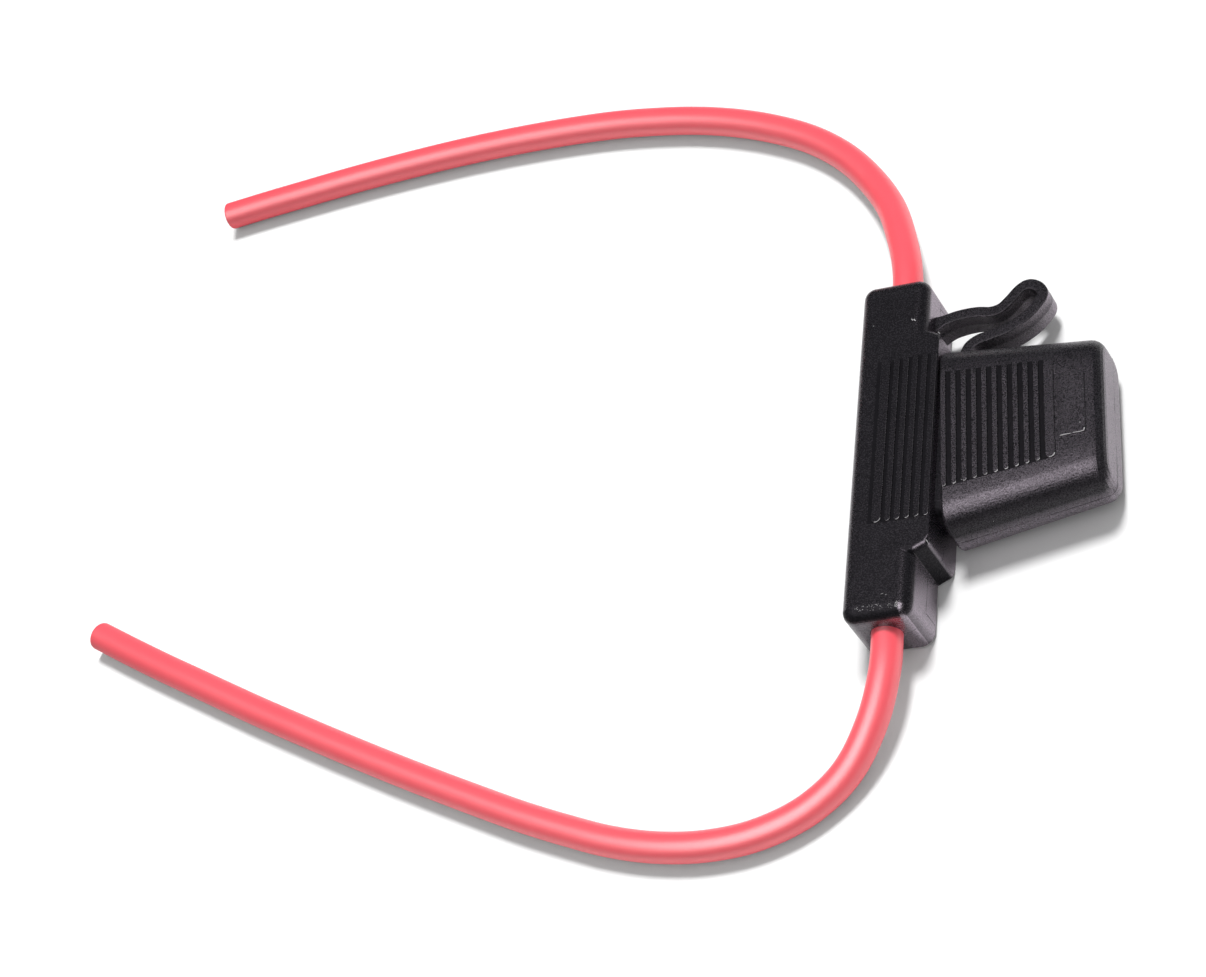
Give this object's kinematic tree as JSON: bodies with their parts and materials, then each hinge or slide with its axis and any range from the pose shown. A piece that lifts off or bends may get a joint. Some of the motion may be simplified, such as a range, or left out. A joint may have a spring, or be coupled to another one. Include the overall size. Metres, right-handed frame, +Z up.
{
  "type": "in-line fuse holder",
  "caption": "In-line holder for a large blade fuse: ribbed black bar with a red lead out of each end and a tethered pull-off cap over the fuse",
  "frame": {"origin": "centre of the bar's flat underside", "axes": "+X is the way the cap pulls off, +Y runs along the bar towards the upper lead and the strap, +Z points up out of the ribbed face"},
  "size_m": [0.2494, 0.2001, 0.0159],
  "materials": {
    "body_plastic": "fine-grained satin black moulding",
    "fuse_plastic": "smooth translucent blue moulding",
    "fuse_metal": "plain plated sheet",
    "terminal_brass": "plain stamped sheet",
    "copper": "bright stranded copper",
    "lead_insulation": "soft satin red insulation"
  },
  "bodies": {
    "holder": {"holder_body": "body_plastic", "tether_strap": "body_plastic", "upper_terminal": "terminal_brass", "lower_terminal": "terminal_brass", "upper_conductor": "copper", "lower_conductor": "copper", "upper_lead": "lead_insulation", "lower_lead": "lead_insulation"},
    "cap": {"cap": "body_plastic"},
    "fuse": {"fuse_housing": "fuse_plastic", "fuse_element": "fuse_metal"}
  },
  "joints": [
    {"name": "cap_slide", "type": "slide", "parent": "holder", "child": "cap", "axis": [1, 0, 0], "range_m": [0, 0.032], "deforming": ["tether_strap"]},
    {"name": "fuse_slide", "type": "slide", "parent": "holder", "child": "fuse", "axis": [1, 0, 0], "range_m": [0, 0.0192]}
  ],
  "couplings": [
    {"joint": "fuse_slide", "follows": "cap_slide", "ratio": 0.6}
  ]
}
